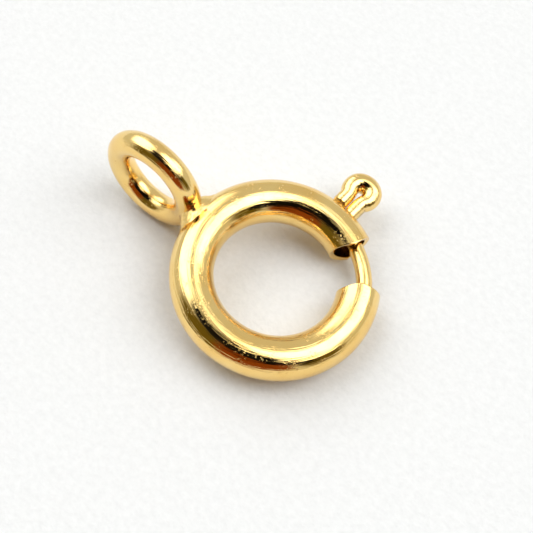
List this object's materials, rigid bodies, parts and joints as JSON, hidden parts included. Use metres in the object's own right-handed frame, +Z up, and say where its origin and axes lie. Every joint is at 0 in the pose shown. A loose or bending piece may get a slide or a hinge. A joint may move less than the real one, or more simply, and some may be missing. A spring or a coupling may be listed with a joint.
{
  "type": "spring ring clasp",
  "caption": "Round necklace clasp: a hollow ring tube with a gap, closed by a sprung sliding bolt with a thumb lever, and a soldered closed loop for the chain.",
  "frame": {"origin": "the centre of the ring, on the hinge line of the bolt", "axes": "+Z is up from the surface that the clasp lies on, -X points to the loop, +X to the far side of the ring; the ring's own axis leans 8.5 degrees from +Z towards +X, because the clasp lies on its loop and on the ring's far side"},
  "size_m": [0.0091, 0.0073, 0.0033],
  "materials": {
    "polished_gold": "polished yellow gold with fine scratches",
    "bolt_gold": "polished yellow gold wire",
    "spring_steel": "drawn spring wire"
  },
  "bodies": {
    "ring": {"ring_body": "polished_gold", "coil_spring": "spring_steel"},
    "bolt": {"bolt_lever": "bolt_gold"}
  },
  "joints": [
    {"name": "bolt_slide_round", "type": "hinge", "parent": "ring", "child": "bolt", "pos_m": [0, 0, 0], "axis": [0.1483, 0, 0.9889], "range_deg": [0, 44], "stiffness_Nm_per_rad": 0.003, "springref_deg": -17.19, "deforming": ["coil_spring"]}
  ]
}
